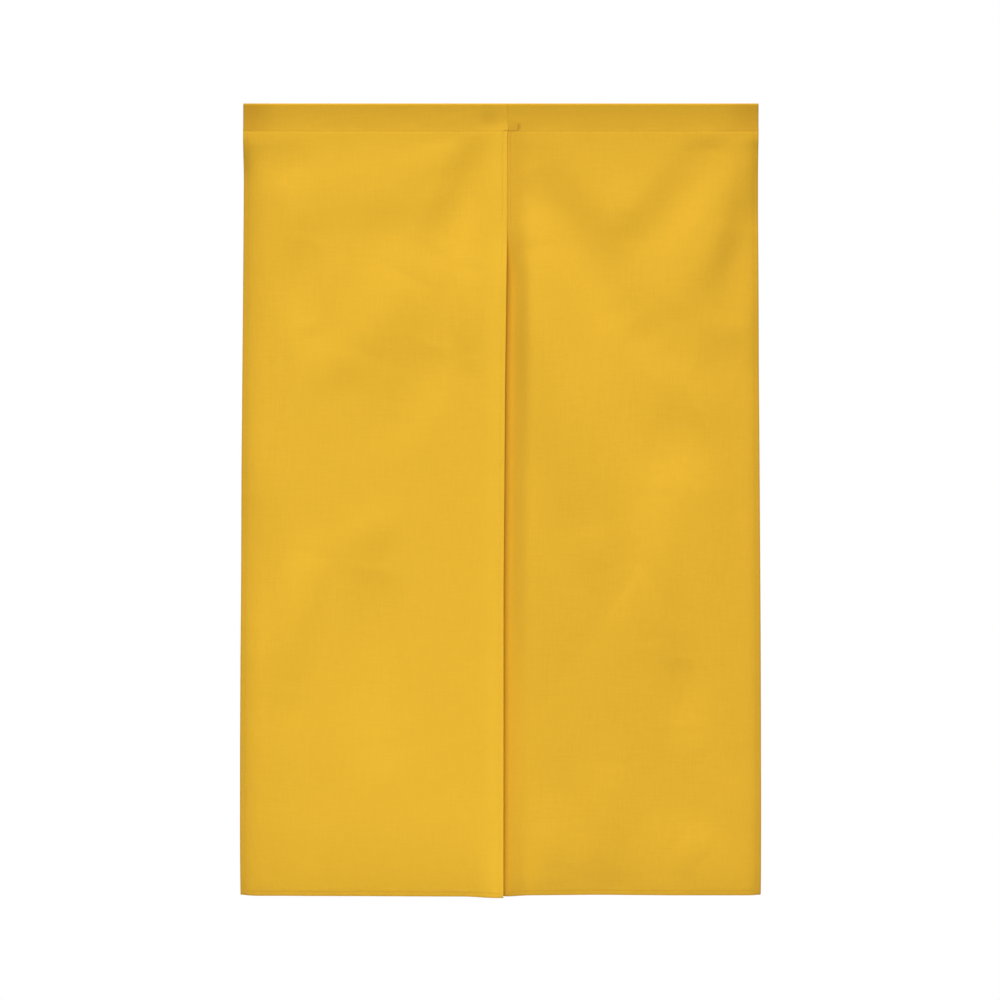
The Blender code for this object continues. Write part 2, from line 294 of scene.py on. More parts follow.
def right_edges(z):
    """The slit edge and the outer edge of the right panel, which is lapped behind."""
    in_pocket = smooth((z + POCKET_DEPTH + LAP) / JOINT_RUN)
    slit = seam_x(z) - LAP + in_pocket * (LAP + POCKET_GAP / 2)
    return slit, TOP_RIGHT_X + RIGHT_FLARE * splay(z, RIGHT_SPLAY_POWER)


for level in (0.0, -0.6, -1.3):
    edges = (*left_edges(level), *right_edges(level))
    print("z", level, "edges", [round(float(x), 4) for x in edges])

# %% [markdown]
# ## How the cloth hangs
# Cloth that hangs from a stitched line falls in soft diagonal drags near the
# top, where its weight pulls from the corners, and in soft upright folds lower
# down. A cloth simulation would give folds, but its own ones, so each fold here
# is listed one by one: a curve from a start to an end that leans towards a bend,
# with a width and three heights. A positive height comes towards the viewer.

# %% Folds
Fold = namedtuple("Fold", "start bend end half_width heights")
LEFT_FOLDS = (
    # hollow that drags from the outer corner and recovers slowly, and the belly beside it
    Fold((-0.435, -0.120), (-0.405, -0.112), (-0.345, -0.100), 0.060, (-0.003, -0.004, -0.002)),
    Fold((-0.430, -0.185), (-0.420, -0.320), (-0.405, -0.560), 0.090, (-0.008, -0.011, -0.002)),
    Fold((-0.320, -0.150), (-0.240, -0.145), (-0.130, -0.130), 0.080, (0.001, 0.002, 0.001)),
    # hollow that runs down from the top of the slit, under a short ridge
    Fold((-0.145, -0.105), (-0.100, -0.090), (-0.050, -0.072), 0.040, (0.001, 0.002, 0.001)),
    Fold((-0.030, -0.070), (-0.050, -0.160), (-0.100, -0.235), 0.060, (-0.003, -0.012, -0.003)),
    # hollows on both sides of the big diagonal ridge
    Fold((-0.230, -0.220), (-0.185, -0.213), (-0.150, -0.205), 0.070, (-0.001, -0.003, -0.001)),
    Fold((-0.318, -0.225), (-0.335, -0.290), (-0.318, -0.365), 0.055, (-0.002, -0.009, -0.002)),
    Fold((-0.160, -0.280), (-0.190, -0.340), (-0.220, -0.410), 0.085, (0.002, 0.011, 0.003)),
    Fold((-0.235, -0.400), (-0.290, -0.430), (-0.320, -0.460), 0.055, (0.001, 0.003, 0.001)),
    Fold((-0.048, -0.270), (-0.052, -0.325), (-0.050, -0.410), 0.045, (0.002, 0.010, 0.002)),
    Fold((-0.105, -0.400), (-0.120, -0.445), (-0.155, -0.510), 0.060, (-0.001, -0.006, -0.001)),
    Fold((-0.165, -0.520), (-0.195, -0.535), (-0.225, -0.550), 0.065, (-0.001, -0.002, -0.001)),
    # dimple at mid height, between a bump and a long hollow
    Fold((-0.185, -0.680), (-0.215, -0.703), (-0.245, -0.730), 0.052, (0.001, 0.003, 0.001)),
    Fold((-0.205, -0.765), (-0.217, -0.870), (-0.205, -1.040), 0.082, (-0.002, -0.014, -0.003)),
    # upright ridge and hollow near the outer edge
    Fold((-0.310, -0.740), (-0.335, -0.820), (-0.350, -0.950), 0.055, (0.002, 0.012, 0.002)),
    Fold((-0.410, -0.640), (-0.400, -0.760), (-0.410, -0.860), 0.060, (-0.002, -0.009, -0.002)),
    # the outer corner of the foot hangs back
    Fold((-0.420, -1.300), (-0.370, -1.290), (-0.310, -1.300), 0.260, (-0.006, -0.011, -0.006)),
)
RIGHT_FOLDS = (
    # hollows on both sides of the belly under the pocket
    Fold((0.050, -0.110), (0.115, -0.195), (0.178, -0.325), 0.070, (-0.002, -0.012, -0.003)),
    Fold((0.170, -0.165), (0.200, -0.172), (0.230, -0.165), 0.065, (0.001, 0.005, 0.001)),
    Fold((0.335, -0.080), (0.300, -0.155), (0.217, -0.247), 0.058, (-0.003, -0.009, -0.002)),
    # ridge that drags down from the outer corner, and the hollow beside it
    Fold((0.390, -0.120), (0.360, -0.215), (0.285, -0.310), 0.055, (0.000, 0.004, 0.003)),
    Fold((0.430, -0.085), (0.412, -0.180), (0.372, -0.330), 0.052, (-0.004, -0.010, -0.003)),
    Fold((0.420, -0.210), (0.413, -0.470), (0.405, -1.050), 0.115, (-0.006, -0.025, -0.004)),
    Fold((0.320, -0.415), (0.350, -0.425), (0.390, -0.440), 0.085, (-0.002, -0.005, -0.002)),
    Fold((0.340, -0.535), (0.305, -0.555), (0.240, -0.540), 0.105, (-0.002, -0.009, -0.002)),
    # two broad bellies across the middle of the panel
    Fold((0.060, -0.620), (0.150, -0.640), (0.250, -0.620), 0.360, (0.009, 0.014, 0.006)),
    Fold((0.160, -0.860), (0.220, -0.900), (0.290, -0.860), 0.300, (0.004, 0.011, 0.004)),
    # ridge that drags down from the top of the slit
    Fold((0.040, -0.240), (0.065, -0.370), (0.150, -0.690), 0.095, (0.006, 0.024, 0.002)),
    Fold((0.215, -0.360), (0.235, -0.380), (0.255, -0.405), 0.050, (-0.001, -0.004, -0.001)),
    # soft upright folds below them
    Fold((0.262, -0.640), (0.258, -0.760), (0.258, -0.880), 0.060, (0.002, 0.012, 0.002)),
    Fold((0.148, -0.700), (0.152, -0.735), (0.155, -0.770), 0.040, (0.001, 0.003, 0.001)),
    Fold((0.298, -0.910), (0.300, -0.965), (0.303, -1.020), 0.050, (-0.002, -0.009, -0.002)),
    # ridges above the foot, and the dent where it turns back
    Fold((0.180, -1.080), (0.175, -1.150), (0.178, -1.235), 0.065, (0.002, 0.009, 0.002)),
    Fold((0.078, -1.180), (0.080, -1.220), (0.080, -1.260), 0.055, (0.002, 0.005, 0.002)),
    Fold((0.290, -1.215), (0.312, -1.230), (0.330, -1.245), 0.065, (0.002, 0.006, 0.002)),
    Fold((0.110, -1.300), (0.160, -1.300), (0.215, -1.300), 0.080, (-0.003, -0.009, -0.003)),
)


def bezier(a, b, c, t):
    return (1 - t) ** 2 * a + 2 * t * (1 - t) * b + t**2 * c


def fold_height(fold, x, z):
    """How far one fold lifts the cloth towards the viewer at each (x, z)."""
    t = np.linspace(0.0, 1.0, 33)
    path_x = bezier(fold.start[0], fold.bend[0], fold.end[0], t)
    path_z = bezier(fold.start[1], fold.bend[1], fold.end[1], t)
    run_x, run_z = np.diff(path_x), np.diff(path_z)
    away_x, away_z = x[..., None] - path_x[:-1], z[..., None] - path_z[:-1]
    share = np.clip((away_x * run_x + away_z * run_z) / (run_x**2 + run_z**2), 0.0, 1.0)
    distance = np.hypot(away_x - share * run_x, away_z - share * run_z)
    nearest = distance.argmin(axis=-1)[..., None]
    along = t[nearest[..., 0]] + np.take_along_axis(share, nearest, -1)[..., 0] * t[1]
    across = np.clip(np.take_along_axis(distance, nearest, -1)[..., 0] / fold.half_width, 0.0, 1.0)
    return bezier(*fold.heights, along) * (1 + np.cos(np.pi * across)) / 2


print(len(LEFT_FOLDS), "folds on the left panel and", len(RIGHT_FOLDS), "on the right")

# %% [markdown]
# ## The face of a panel
# Over the folds come the things that the sewing does. The slit edges are calm:
# they lap where they are sewn, and below that the left one swings forward and
# the right one back, with its last centimetre tucked further in. Just under the
# pocket the cloth falls back a little, the outer edges roll back, and the foot
# swings back. Last, sewn cloth is never flat, so soft noise adds a slight cockle
# everywhere, and short puckers where the stitches draw the cloth in.

# %% Front face of a panel
OPENING_RUN = 0.100
FRONT_LIFT = 0.005
BACK_LIFT = 0.009
Blend = namedtuple("Blend", "start run")
Roll = namedtuple("Roll", "width depth")
TUCK = Roll(width=0.012, depth=0.003)
EDGE_TURN = Roll(width=0.0035, depth=0.014)
Hang = namedtuple("Hang", "calm roll swing curl")
LEFT_HANG = Hang(
    calm=Blend(start=0.008, run=0.060),
    roll=Roll(width=0.040, depth=0.017),
    swing=Roll(width=0.130, depth=0.012),
    curl=Roll(width=0.045, depth=0.0015),
)
RIGHT_HANG = Hang(
    calm=Blend(start=0.002, run=0.045),
    roll=Roll(width=0.026, depth=0.008),
    swing=Roll(width=0.550, depth=0.024),
    curl=Roll(width=0.050, depth=0.0035),
)
HELD_FLAT = 0.003
FOLDS_START = 0.030
NECK = Roll(width=0.050, depth=0.0015)
ROLL_START = 0.075
CAD_CLOTH = 1.0 * MM
COCKLE = 0.45 * MM
COCKLE_SIZE = 0.055
COCKLE_START = 0.020
PUCKER = 0.22 * MM
PUCKER_SPACING = 0.011
PUCKER_REACH = 0.016


def noise_at(x, z, size_x, size_z, layer):
    """Smooth noise from -1 to 1 at each (x, z)."""
    places = zip(x.ravel(), z.ravel())
    flat = [noise.noise(Vector((a / size_x, b / size_z, layer))) for a, b in places]
    return np.array(flat).reshape(x.shape)


def unevenness(x, z, from_slit, from_edge):
    """The slight cockle of sewn cloth, with puckers along the stitched lines."""
    soft = COCKLE * noise_at(x, z, COCKLE_SIZE, COCKLE_SIZE * 1.8, 0.3)
    below_pocket = np.exp(-np.clip(-z - POCKET_DEPTH, 0, None) / PUCKER_REACH)
    at_foot = np.exp(-np.clip(z + HEIGHT, 0, None) / PUCKER_REACH)
    at_sides = np.exp(-np.minimum(from_slit, from_edge) / PUCKER_REACH)
    upright = noise_at(x, z, PUCKER_SPACING, 0.06, 5.1) * np.maximum(below_pocket, at_foot)
    level = noise_at(x, z, 0.06, PUCKER_SPACING, 9.7) * at_sides
    return soft + PUCKER * (upright + level)


def rolled(distance, roll):
    """How far back an edge lies at a distance from it."""
    return roll.depth * (1 - np.clip(distance / roll.width, 0, 1)) ** 2


def front_face(x, z, folds, hang, from_slit, from_edge, slit_shift):
    """The y of a panel's front face at each (x, z)."""
    below = -z - POCKET_DEPTH - HELD_FLAT
    near_slit = 1 - smooth((from_slit - hang.calm.start) / hang.calm.run)
    relief = sum(fold_height(fold, x, z) for fold in folds)
    roll = rolled(from_edge, hang.roll) * smooth(below / ROLL_START)
    below_pocket = smooth(below / FOLDS_START)
    neck = NECK.depth - rolled(np.clip(below, 0, None), NECK)
    swing = rolled(z + HEIGHT, hang.swing) * (1 - near_slit) + rolled(z + HEIGHT, hang.curl)
    folded = -relief * (1 - near_slit) * below_pocket
    cockle = unevenness(x, z, from_slit, from_edge) * smooth(from_slit / COCKLE_START)
    return -CAD_CLOTH + neck + folded + roll + slit_shift * near_slit + swing + cockle


def slit_opening(z):
    """0 where the lap is sewn, 1 where the slit is fully open."""
    return smooth((-z - SEWN_TO) / OPENING_RUN)


def left_face(x, z):
    outer, slit = left_edges(z)
    lapped = HEM_THICKNESS + POCKET_GAP / 2 - CAD_CLOTH
    shift = -lapped - FRONT_LIFT * slit_opening(z)
    return front_face(x, z, LEFT_FOLDS, LEFT_HANG, slit - x, x - outer, shift)


def right_face(x, z):
    slit, outer = right_edges(z)
    shift = CAD_CLOTH + POCKET_GAP / 2 + BACK_LIFT * slit_opening(z)
    tucked = (rolled(x - slit, TUCK) + rolled(x - slit, EDGE_TURN)) * slit_opening(z)
    return front_face(x, z, RIGHT_FOLDS, RIGHT_HANG, x - slit, outer - x, shift) + tucked


Panel = namedtuple("Panel", "side edges face")
LEFT = Panel("left", left_edges, left_face)
RIGHT = Panel("right", right_edges, right_face)
sample_x, sample_z = np.array([-0.2]), np.array([-0.65])
print("left front face at half height, mm:", left_face(sample_x, sample_z) / MM)

# %% [markdown]
# ## Across the cloth: turned side hems
# A side hem is the cloth's own edge turned to the back and sewn down. The mesh
# does the same. Going across, the columns start at the hidden end of the left
# turning, go round the fold, over the face, round the other fold, and end in the
# right turning. Each column is a share of the width, a shift from it, and how
# far it lies behind the face.

# %% Columns of a panel
Column = namedtuple("Column", "share shift depth")
CELL = 4.6 * MM
FOLD_STEPS = 4
STITCH_INSET = 7 * MM
HEM_BLEND = 3 * MM
HEM_TURNING = [HEM_WIDTH, STITCH_INSET, 4.5 * MM, 1.5 * MM]
AT_STITCHES = [d * MM for d in (6.0, 6.6, 7.0, 7.4, 8.0, 9.0, 11.0, 14.0)]
HEM_PLACES = [1.0 * MM, 2.6 * MM, 4.4 * MM] + AT_STITCHES
# Columns that carry the painted shadow line in the joint's notch.
AT_NOTCH = [d * MM for d in (15.9, 16.6, 17.3, 18.0)]


def hem_columns():
    """From the hidden end of a turning, round its fold, to the start of the plain cloth."""
    turned = [Column(0, d, LAYER) for d in HEM_TURNING]
    radius = LAYER / 2
    angles = np.linspace(0, math.pi, FOLD_STEPS + 2)
    folded = [Column(0, radius * (1 - math.sin(a)), radius * (1 + math.cos(a))) for a in angles]
    return turned + folded + [Column(0, d, 0.0) for d in HEM_PLACES + AT_NOTCH]


def panel_columns(width):
    start = hem_columns()
    margin = start[-1].shift
    count = round((width - 2 * margin) / CELL)
    plain = [Column(s, margin * (1 - 2 * s), 0.0) for s in np.linspace(0, 1, count + 1)[1:-1]]
    end = [Column(1, -c.shift, c.depth) for c in reversed(start)]
    return start + plain + end


columns = panel_columns(TOP_RIGHT_X)
print(len(columns), "columns across a panel")

# %% [markdown]
# ## Down the cloth: foot hem, face and pocket
# The same idea runs the other way. The rows start at the hidden end of the foot
# hem, go round its fold and up the face, then up the front of the pocket, over
# the room for the rod, and down the back to the stitch line. Where the foot hem
# crosses a side hem, three layers lie on each other, so its fold is wider there.
#
# The pocket is drawn as an outline: a flat top with round corners, and two sides
# that draw together down to the stitch line. Its front leans back towards the
# stitches, which makes it look darker than the panel under a light from above;
# painted shade deepens it further.
# A short table holds the places where its front is pulled a little flatter.

# %% Rows of a panel
FOOT_TURNING = [HEM_WIDTH, STITCH_INSET, 4.5 * MM, 2.5 * MM]
FOOT_PLACES = [2.6 * MM, 4.4 * MM] + AT_STITCHES + [18.0 * MM]
HEAD_PLACES = [d * MM for d in (14.0, 10.0, 7.0, 4.5, 2.8, 1.6, 0.8, 0.0)]
TOP_SHARES = (0.0, 0.35, 0.7)
SIDE_SHARES = (0.94, 0.84, 0.72, 0.60, 0.48, 0.36, 0.25, 0.16, 0.09, 0.05, 0.02, 0.0)
CORNER_POINTS = 9
ROD_ROOM = 7 * MM
TOP_CORNER = 2.2 * MM
POCKET_FOOT = 2.4 * MM
STITCH_PINCH = 0.18 * MM
POCKET_PINCH = 0.08 * MM
LAP_PINCH = 0.30 * MM
PINCH_WIDTH = 1.6 * MM
FOOT_BLEND = 15 * MM
FRONT_CURVE = 1.50
END_TURN = 0.8 * MM
END_TURN_WIDTH = 1.3 * MM
POCKET_COCKLE = 0.6 * COCKLE
Pull = namedtuple("Pull", "x half_width depth")
PULLS = (
    Pull(x=-0.410, half_width=0.030, depth=0.0006),
    Pull(x=-0.180, half_width=0.090, depth=0.0004),
    Pull(x=-0.020, half_width=0.034, depth=0.0010),
    Pull(x=0.060, half_width=0.040, depth=0.0006),
    Pull(x=0.190, half_width=0.080, depth=0.0004),
    Pull(x=0.412, half_width=0.028, depth=0.0006),
)


def pinch(distance, depth=STITCH_PINCH):
    return depth * np.exp(-((distance / PINCH_WIDTH) ** 2))


def pocket_half():
    """The back half of the pocket's outline, from the middle of its top to the stitch line.

    Each point is (y, z) with the angle that the cloth faces there.
    """
    corner = TOP_CORNER - CLOTH / 2
    centre = Vector((ROD_ROOM + CAD_CLOTH - TOP_CORNER, -TOP_CORNER))
    foot = Vector(((POCKET_FOOT - CLOTH) / 2, -POCKET_DEPTH))
    lean = math.atan2(centre.x + corner - foot.x, centre.y - foot.y)
    top = [(Vector((centre.x * share, -CLOTH / 2)), math.pi / 2) for share in TOP_SHARES]
    angles = np.linspace(math.pi / 2, -lean, CORNER_POINTS)
    turn = [(centre + corner * Vector((math.cos(a), math.sin(a))), a) for a in angles]
    side = turn[-1][0]
    down = []
    for share in SIDE_SHARES:
        across = foot.x + (side.x - foot.x) * share**FRONT_CURVE
        down.append((Vector((across, foot.lerp(side, share).y)), -lean))
    return top + turn + down + [(foot - Vector((0.0, 0.5 * MM)), -lean)]


class Sheet:
    """The columns of one panel, and the functions that place its rows."""

    def __init__(self, panel):
        self.panel = panel
        low, high = panel.edges(np.array(-HEIGHT / 2))
        width = float(high - low)
        self.columns = panel_columns(width)
        self.share = np.array([c.share for c in self.columns])
        self.shift = np.array([c.shift for c in self.columns])
        self.depth = np.array([c.depth for c in self.columns])
        from_low = np.abs(self.share * width + self.shift)
        from_high = np.abs(width - self.share * width - self.shift)
        self.from_outer, self.from_slit = from_low, from_high
        if panel.side == "right":
            self.from_outer, self.from_slit = from_high, from_low
        self.from_fold = np.minimum(from_low, from_high)
        self.over_hem = 1 - smooth((self.from_fold - HEM_WIDTH) / HEM_BLEND)

    def x_at(self, z):
        low, high = self.panel.edges(z)
        return low + self.share * (high - low) + self.shift

    def middle_y(self, x, z):
        """The middle of the cloth's thickness, with the hem stitches drawn in."""
        on_face = self.depth == 0
        sewn = pinch(self.from_fold - STITCH_INSET) * on_face
        sewn = np.maximum(sewn, pinch(z + HEIGHT - STITCH_INSET))
        in_lap = pinch(self.from_slit - STITCH_INSET, LAP_PINCH) * (z > -SEWN_TO)
        sewn = sewn + in_lap * on_face
        return self.panel.face(x, z) + CLOTH / 2 + sewn * smooth((-z - POCKET_DEPTH) / (2 * MM))

    def grid(self, z):
        """The x, y and z of the middle of the cloth in every column."""
        z = np.broadcast_to(np.asarray(z, float), self.share.shape)
        x = self.x_at(z)
        return x, self.middle_y(x, z), z

    def foot_turning(self):
        """The foot hem: up at the back, round the fold, to the front."""
        half = LAYER * (1 + 2 * self.over_hem) / 2
        rows = []
        for height in FOOT_TURNING:
            x, y, z = self.grid(-HEIGHT + height)
            rows.append((x, y + 2 * half - self.depth, z))
        radius = half - self.depth
        x, y, _ = self.grid(-HEIGHT)
        for angle in np.linspace(0, math.pi, FOLD_STEPS + 2):
            y_here = y + half + radius * math.cos(angle)
            rows.append((x, y_here, -HEIGHT + half - radius * math.sin(angle)))
        return rows

    def face_rows(self):
        """The front, from just above the foot to the stitch line."""
        foot = [-HEIGHT + d for d in FOOT_PLACES]
        head = [-POCKET_DEPTH - d for d in HEAD_PLACES]
        count = round((head[0] - foot[-1]) / CELL)
        plain = list(np.linspace(foot[-1], head[0], count + 1)[1:-1])
        rows = [self.grid(z) for z in foot + plain + head]
        return [(x, y + self.depth, z) for x, y, z in rows]

    def pocket_rows(self):
        """The rod pocket: up its front, over the rod, down its back."""
        half = pocket_half()
        front = [(Vector((-p.x, p.y)), math.pi - facing) for p, facing in reversed(half)]
        outline = front + half[1:]
        foot_half, widest = half[-2][0].x, max(p.x for p, _ in half)
        x, y, _ = self.grid(-POCKET_DEPTH)
        at_stitches = y + foot_half
        end_turn = END_TURN * np.exp(-((self.from_fold / END_TURN_WIDTH) ** 2))
        rows = []
        for point, angle in outline:
            held = 1 - smooth((point.y + POCKET_DEPTH) / FOOT_BLEND)
            z = np.full_like(x, point.y)
            x_here = self.x_at(np.minimum(z, 0.0))
            bulge = max(-point.x, 0.0) / widest
            inwards = 1 if point.x < 0 else -1
            level = np.clip(-point.y / POCKET_DEPTH, 0, 1)
            middle, low_middle = math.sin(math.pi * level), math.sin(math.pi * level**1.6)
            pulled = sum(p.depth * (1 - smooth(np.abs(x_here - p.x) / p.half_width)) for p in PULLS)
            drawn = pinch(point.y + POCKET_DEPTH, POCKET_PINCH) * inwards
            wave = POCKET_COCKLE * noise_at(x_here, z, 0.035, 0.05, 2.2) * middle
            turned = end_turn * inwards * middle
            y_here = point.x - math.cos(angle) * self.depth + pulled * bulge * low_middle
            y_here = y_here + held * at_stitches + drawn + wave + turned
            rows.append((x_here, y_here, z - math.sin(angle) * self.depth))
        return rows


print("the pocket is", round(2 * ROD_ROOM / MM), "mm wide inside")

# %% [markdown]
# ## Sewing the mesh together
# The rows become one grid of four-sided faces. A Solidify modifier gives it the
# thickness of the cloth, half to each side, so that its edges look cut and the
# mesh is closed. Each point also stores how deep its colour is, which the
# material mixes towards a deeper colour. It is all painted shade: the doubled
# cloth of the hems and the pocket, where less light comes through; an even field
# over each panel, deeper on the right; the shadow of the left panel's edge on
# the right panel beside the slit; darker outer edges and pocket ends; a dark line
# along the outer cut edges and the foot; a shade patch where the left pocket
# puckers beside the joint; and a shadow line in the notch where the pocket meets
# the lap, along its foot and up its front.

# %% Build the two sheets
# Painted shade of doubled cloth, where less light comes through: the outer side hems, the foot hem
# and the pocket.
SIDE_HEM_SHADE = 0.08
FOOT_HEM_SHADE = 0.14
POCKET_SHADE = 0.09
# A painted shade line along the outer cut edge and the foot.
EDGE_SHADE_LINE = 0.30
# How far the painted shade beside the slit, along the outer edges and at the pocket's ends reaches.
SLIT_SHADOW_FADE = Blend(start=12 * MM, run=36 * MM)
OUTER_SHADE_FADE = Blend(start=10 * MM, run=90 * MM)
POCKET_END_SHADE_FADE = Blend(start=4 * MM, run=60 * MM)
SIDE_FADE = Blend(start=HEM_WIDTH, run=6 * MM)
FOOT_FADE = Blend(start=HEM_WIDTH, run=1.5 * MM)
# Where the painted edge shade line fades out.
EDGE_SHADE_FADE = Blend(start=0.0, run=2.5 * MM)
# A painted shadow line in the notch where the pocket meets the lap.
NOTCH_SHADOW = 0.85
Notch = namedtuple("Notch", "reach start height")
LEFT_NOTCH = Notch(reach=5 * MM, start=-0.0443, height=0.0)
RIGHT_NOTCH = Notch(reach=16.9 * MM, start=-0.0443, height=13 * MM)
# A patch of painted shade where the left pocket puckers beside the joint.
ShadePatch = namedtuple("ShadePatch", "from_slit z layers")
PUCKER_SHADE = ShadePatch(from_slit=31 * MM, z=-0.026, layers=0.24)
# Painted shade over each panel: an even field, deeper on the right; the shadow of the left panel's
# edge on the right panel beside the slit; darker outer edges and pocket ends. On the left panel it
# fades out towards the slit, so that strip reads lighter.
PaintedShade = namedtuple("PaintedShade", "field slit outer pocket_end")
LEFT_PAINTED_SHADE = PaintedShade(field=0.11, slit=0.00, outer=0.22, pocket_end=0.45)
RIGHT_PAINTED_SHADE = PaintedShade(field=0.20, slit=0.46, outer=0.31, pocket_end=0.28)


def fade(distance, start, run):
    """1 up to a distance, then softly down to 0 over a run."""
    return 1 - smooth((distance - start) / run)


def notch_shadow(sheet, z):
    """1 on the painted shadow line in the notch at the joint: along the pocket's foot, then up its
    front.
    """
    notch = LEFT_NOTCH if sheet.panel.side == "left" else RIGHT_NOTCH
    across = fade(np.abs(z - notch.start), 0.8 * MM, 1.2 * MM)
    across = across * fade(sheet.from_slit, notch.reach, 0.9 * MM)
    middle = notch.start + notch.height / 2
    up = fade(np.abs(sheet.from_slit - notch.reach), 0.5 * MM, 1.3 * MM)
    return np.maximum(across, up * fade(np.abs(z - middle), notch.height / 2, 1.5 * MM))


def pucker_shade_mask(sheet, z):
    """1 on the painted shade where the left pocket puckers beside the joint."""
    if sheet.panel.side == "right":
        return 0.0
    across = fade(np.abs(sheet.from_slit - PUCKER_SHADE.from_slit), 4 * MM, 18 * MM)
    return across * fade(np.abs(z - PUCKER_SHADE.z), 4 * MM, 14 * MM)


def layers_and_painted_shade(sheet, z, is_pocket):
    """How deep the colour is: 0 with no painted shade, up to 1 where painted shade adds up."""
    painted_shade = LEFT_PAINTED_SHADE if sheet.panel.side == "left" else RIGHT_PAINTED_SHADE
    at_slit = 0.0 if is_pocket else fade(sheet.from_slit, *SLIT_SHADOW_FADE)
    at_outer = fade(sheet.from_outer, *OUTER_SHADE_FADE)
    base = painted_shade.field + (painted_shade.slit - painted_shade.field) * at_slit + (painted_shade.outer - painted_shade.field) * at_outer
    # Painted shade line at the outer cut edge and the foot.
    edge = EDGE_SHADE_LINE * fade(np.minimum(sheet.from_outer, z + HEIGHT), *EDGE_SHADE_FADE)
    if is_pocket:
        base = base + POCKET_SHADE + painted_shade.pocket_end * fade(sheet.from_outer, *POCKET_END_SHADE_FADE)
        # Painted shadow in the joint's notch, and painted shade of the pucker beside it.
        joint = NOTCH_SHADOW * notch_shadow(sheet, z) + PUCKER_SHADE.layers * pucker_shade_mask(sheet, z)
        return base + edge + joint
    side = SIDE_HEM_SHADE * fade(sheet.from_outer, *SIDE_FADE)
    return base + edge + np.maximum(side, FOOT_HEM_SHADE * fade(z + HEIGHT, *FOOT_FADE))


def grid_faces(row_count, width):
    """Four-sided faces between the points of a grid that is numbered row by row."""
    corners = [r * width + c for r in range(row_count - 1) for c in range(width - 1)]
    return [(a, a + 1, a + width + 1, a + width) for a in corners]


def make_cloth(name, panel):
    sheet = Sheet(panel)
    panel_rows = sheet.foot_turning() + sheet.face_rows()
    pocket = sheet.pocket_rows()
    rows = panel_rows + pocket
    width = len(sheet.columns)
    points = np.array([np.stack(row, axis=-1) for row in rows]).reshape(-1, 3)
    faces = grid_faces(len(rows), width)
    mesh = bpy.data.meshes.new(name)
    mesh.from_pydata(points.tolist(), [], faces)
    layers = [layers_and_painted_shade(sheet, z, False) for x, y, z in panel_rows]
    layers += [layers_and_painted_shade(sheet, z, True) for x, y, z in pocket]
    attribute = mesh.attributes.new("layers", "FLOAT", "POINT")
    attribute.data.foreach_set("value", np.concatenate(layers).astype(np.float32))
    mesh.shade_smooth()
    mesh.materials.append(CLOTH_FINISH)
    cloth = bpy.data.objects.new(name, mesh)
    bpy.context.scene.collection.objects.link(cloth)
    solidify = cloth.modifiers.new("thickness of the cloth", "SOLIDIFY")
    solidify.thickness = CLOTH
    solidify.offset = 0.0
    print(name, len(rows), "rows of", width, "columns,", len(faces), "faces before thickness")
    return cloth, sheet


cloth_left, sheet_left = make_cloth("cloth_left", LEFT)
cloth_right, sheet_right = make_cloth("cloth_right", RIGHT)
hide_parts("panel_left", "pocket_left")
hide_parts("panel_right", "pocket_right")

# %% [markdown]
# ## Real stitches
# A machine stitch is a short slanted bead of thread that dips into the cloth at
# both ends. One stitch is a five-sided spindle. A row of them is one mesh: the
# spindle copied along a line, each copy turned to the line and seated on the
# cloth. Both faces of the cloth get their row, because a lockstitch shows on both.

# %% Rows of stitches
STITCH_LENGTH = 2.5 * MM
STITCH_PITCH = 3.2 * MM
STITCH_SLANT = 0.10
THREAD_RADIUS = 0.24 * MM
THREAD_LIFT = THREAD_RADIUS * 0.4
SPINDLE_SIDES = 5
SPINDLE_TIP = -0.6


def spindle():
    """Points and faces of one stitch of length 1 along X, thickness 1."""
    points = [(-0.5, 0.0, SPINDLE_TIP)]
    for along, size in ((-0.25, 0.9), (0.25, 0.9)):
        for k in range(SPINDLE_SIDES):
            angle = 2 * math.pi * k / SPINDLE_SIDES
            points.append((along, size * math.cos(angle), size * math.sin(angle)))
    points.append((0.5, 0.0, SPINDLE_TIP))
    faces = []
    last = len(points) - 1
    for k in range(SPINDLE_SIDES):
        a, b = 1 + k, 1 + (k + 1) % SPINDLE_SIDES
        faces += [(0, b, a), (a, b, b + SPINDLE_SIDES, a + SPINDLE_SIDES)]
        faces.append((a + SPINDLE_SIDES, b + SPINDLE_SIDES, last))
    return np.array(points), faces


SPINDLE_POINTS, SPINDLE_FACES = spindle()
SIDE_LINE_POINTS = 240
LEVEL_LINE_POINTS = 160
BELOW_POCKET = 2 * MM
ABOVE_FOOT = 4 * MM
FOOT_LINE_INSET = 3 * MM
POCKET_LINE_INSET = 2 * MM
BACK_LINE_RISE = 0.6 * MM


